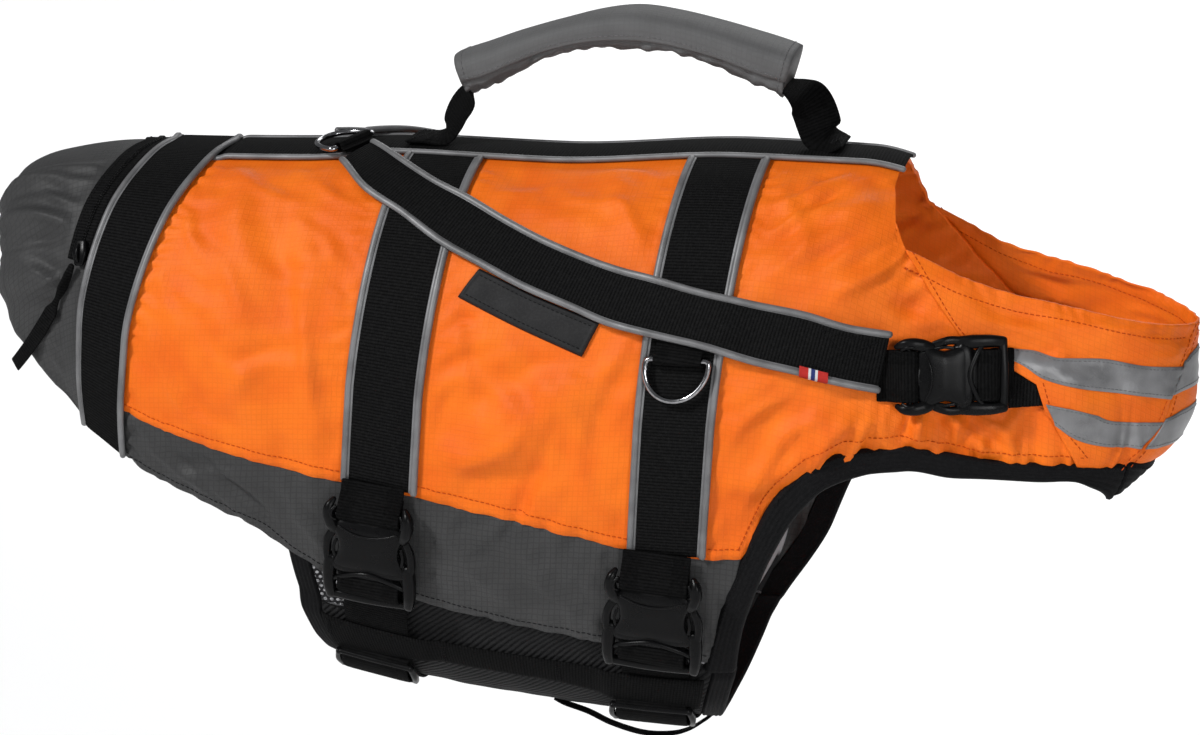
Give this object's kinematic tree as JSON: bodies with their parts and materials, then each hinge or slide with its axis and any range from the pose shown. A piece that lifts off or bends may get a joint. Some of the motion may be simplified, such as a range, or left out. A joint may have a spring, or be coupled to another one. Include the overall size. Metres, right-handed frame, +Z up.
{
  "type": "dog life jacket",
  "caption": "Hollow padded dog life jacket as worn, with webbing bands, a top carrying handle, D-rings, side-release buckles, a belly panel and a wrap-round chest collar.",
  "frame": {"origin": "on the vest's inner face under the spine, between the shoulder blades and the loins, where the wearer's back carries it", "axes": "+X towards the dog's head, +Y to the dog's left, +Z up"},
  "size_m": [0.7044, 0.2292, 0.4259],
  "materials": {
    "orange_ripstop": "orange ripstop nylon, a fine square grid in the weave, slight sheen",
    "grey_ripstop": "charcoal ripstop nylon with a fine square grid",
    "black_webbing": "black nylon webbing with fine cross ribs",
    "black_mesh": "black spacer mesh with honeycomb holes",
    "black_elastic": "black ribbed elastic binding, matt",
    "grey_reflective": "grey satin reflective tape",
    "black_plastic": "black moulded acetal, half matt",
    "chrome": "polished steel",
    "rubber_patch": "dark moulded rubber, matt, bare",
    "red_tag": "woven tag in red, white and dark blue stripes"
  },
  "bodies": {
    "jacket": {"belly_elastic": "black_elastic", "belly_front_binding": "black_elastic", "belly_panel": "black_mesh", "belly_rear_binding": "black_elastic", "belly_strap_front": "black_webbing", "belly_strap_mid": "black_webbing", "belly_webbing_L": "black_webbing", "belly_webbing_R": "black_webbing", "collar_L": "orange_ripstop", "collar_R": "orange_ripstop", "flag_tag": "red_tag", "flank_panel_L": "grey_ripstop", "flank_panel_R": "grey_ripstop", "front_band_L": "black_webbing", "front_band_R": "black_webbing", "front_buckle_L_plug": "black_plastic", "front_buckle_L_socket": "black_plastic", "front_buckle_R_plug": "black_plastic", "front_buckle_R_socket": "black_plastic", "front_triglide_L": "black_plastic", "front_triglide_R": "black_plastic", "handle_sleeve": "grey_ripstop", "handle_webbing": "black_webbing", "leg_binding_L": "black_elastic", "leg_binding_R": "black_elastic", "mid_band_L": "black_webbing", "mid_band_R": "black_webbing", "mid_buckle_L_plug": "black_plastic", "mid_buckle_L_socket": "black_plastic", "mid_buckle_R_plug": "black_plastic", "mid_buckle_R_socket": "black_plastic", "mid_triglide_L": "black_plastic", "mid_triglide_R": "black_plastic", "rear_band": "black_webbing", "rump_panel": "grey_ripstop", "shoulder_buckle_L_plug": "black_plastic", "shoulder_buckle_L_socket": "black_plastic", "shoulder_buckle_R_plug": "black_plastic", "shoulder_buckle_R_socket": "black_plastic", "shoulder_strap_L": "black_webbing", "shoulder_strap_R": "black_webbing", "side_panel_L": "orange_ripstop", "side_panel_R": "orange_ripstop", "side_patch": "rubber_patch", "side_ring_keeper_L": "black_webbing", "side_ring_keeper_R": "black_webbing", "spine_band": "black_webbing", "spine_ring_keeper": "black_webbing", "strap_end_L": "black_webbing", "strap_end_R": "black_webbing", "tape_lower_L": "grey_reflective", "tape_lower_R": "grey_reflective", "tape_upper_L": "grey_reflective", "tape_upper_R": "grey_reflective", "zip_slider": "black_plastic", "zip_tape": "black_webbing"},
    "spine_ring": {"spine_ring": "chrome"},
    "side_ring_R": {"side_ring_R": "chrome"},
    "side_ring_L": {"side_ring_L": "chrome"},
    "zip_pull": {"zip_pull": "black_webbing"}
  },
  "joints": [
    {"name": "spine_ring_swing", "type": "hinge", "parent": "jacket", "child": "spine_ring", "pos_m": [-0.1163, -0.023, 0.0114], "axis": [0.4938, 0.8554, 0.1564], "range_deg": [0, 140]},
    {"name": "side_ring_R_swing", "type": "hinge", "parent": "jacket", "child": "side_ring_R", "pos_m": [0.09048, -0.10902, -0.08683], "axis": [-1, 0.0032, -0.0005], "range_deg": [0, 95]},
    {"name": "side_ring_L_swing", "type": "hinge", "parent": "jacket", "child": "side_ring_L", "pos_m": [0.09048, 0.10902, -0.08683], "axis": [1, 0.0032, 0.0005], "range_deg": [0, 95]},
    {"name": "zip_pull_swing", "type": "hinge", "parent": "jacket", "child": "zip_pull", "pos_m": [-0.26936, -0.07744, -0.05735], "axis": [-0.7094, 0.39, 0.5871], "range_deg": [0, 110]}
  ]
}
